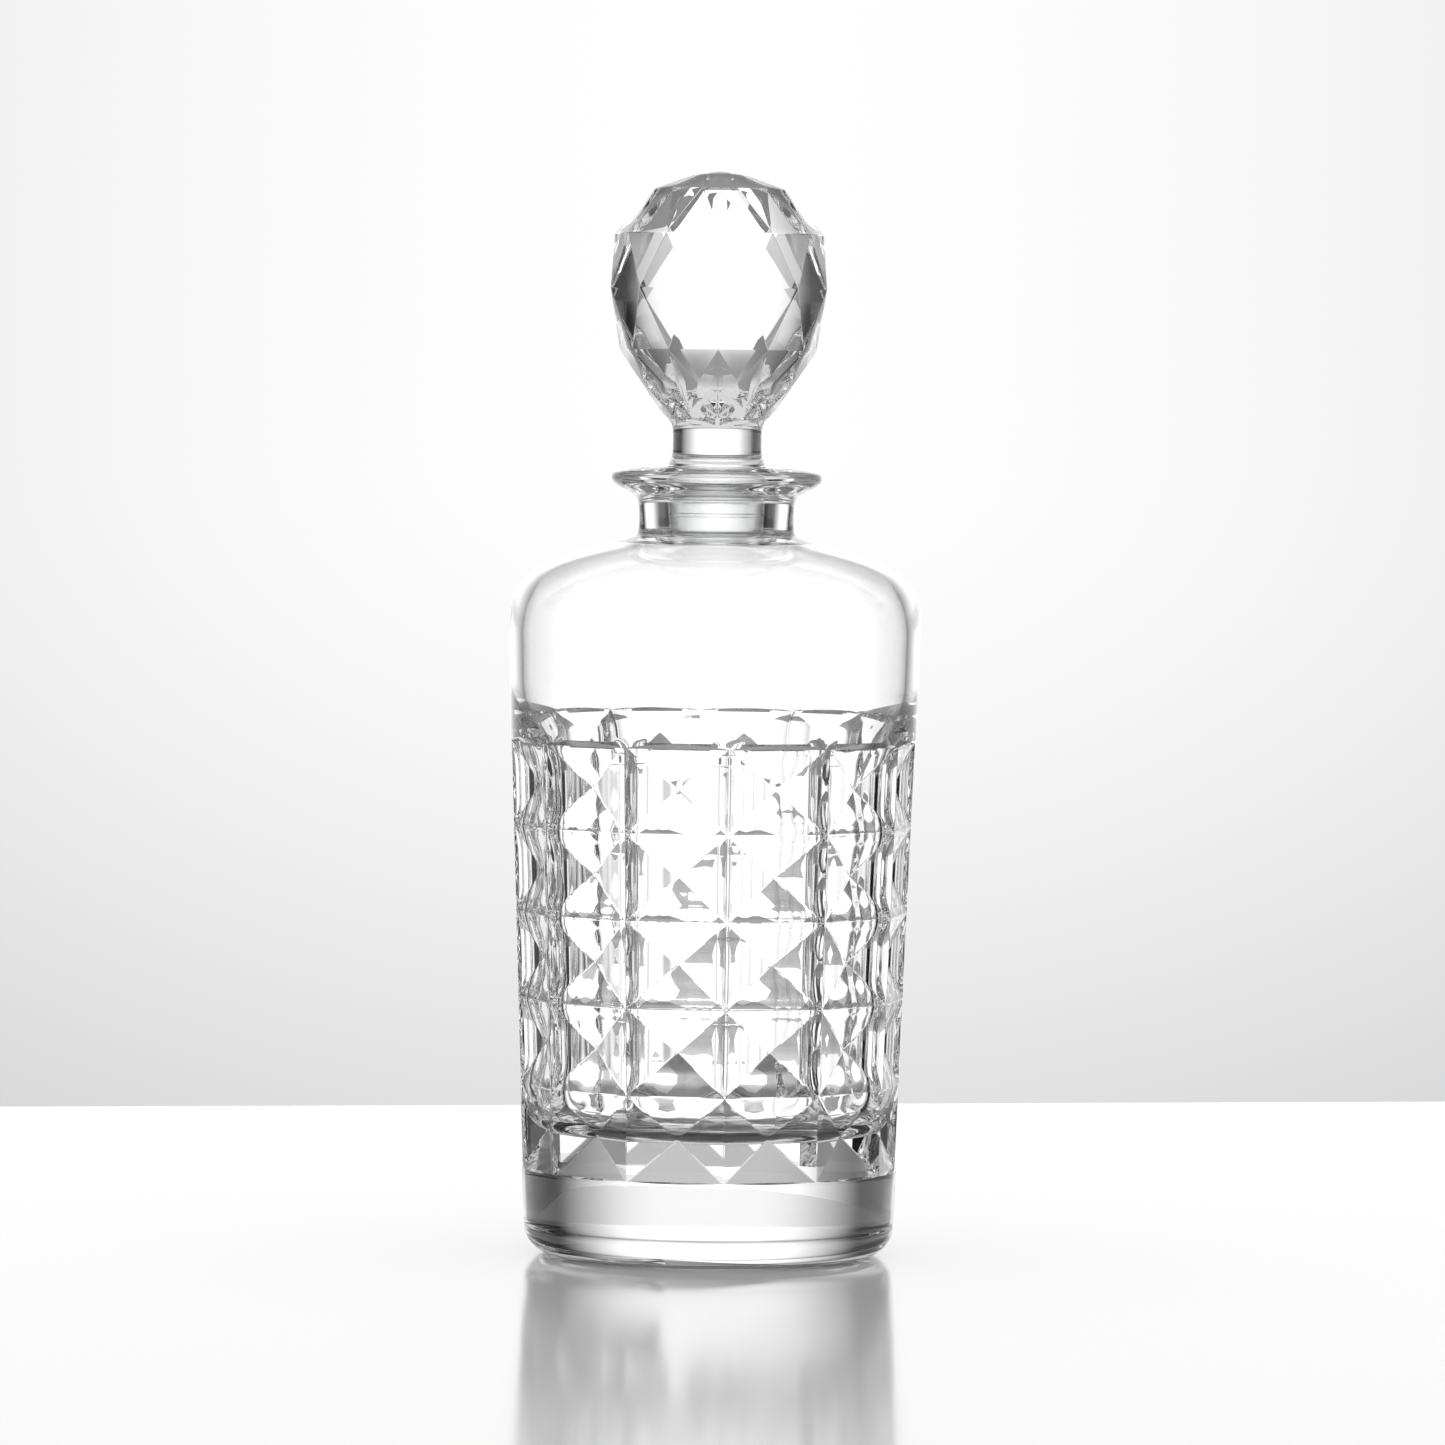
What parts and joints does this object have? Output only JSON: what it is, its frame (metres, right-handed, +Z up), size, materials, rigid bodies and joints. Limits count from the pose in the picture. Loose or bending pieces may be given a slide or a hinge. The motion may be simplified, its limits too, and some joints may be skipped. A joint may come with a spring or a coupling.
{
  "type": "cut crystal decanter",
  "caption": "Round straight-sided crystal decanter with a heavy base, a band of hollow-cut pyramids, a flared lip and a faceted ball stopper in a clear sealing sleeve.",
  "frame": {"origin": "middle of the base, on the surface that the decanter stands on", "axes": "+Z up along the bottle's axis, out through the mouth; -Y faces the front, 4.4 degrees beside an upright ridge of the cut band"},
  "size_m": [0.1006, 0.1006, 0.2657],
  "materials": {
    "crystal": "colourless crystal, cut and polished",
    "seal_plastic": "clear soft plastic, slightly milky"
  },
  "bodies": {
    "bottle": {"bottle": "crystal"},
    "seal": {"stopper_seal": "seal_plastic"},
    "stopper": {"stopper": "crystal"}
  },
  "joints": [
    {"name": "stopper_lift", "type": "slide", "parent": "bottle", "child": "seal", "axis": [0, 0, 1], "range_m": [0, 0.05]},
    {"name": "stopper_turn", "type": "hinge", "parent": "seal", "child": "stopper", "pos_m": [0, 0, 0.19], "axis": [0, 0, 1], "continuous": true}
  ]
}
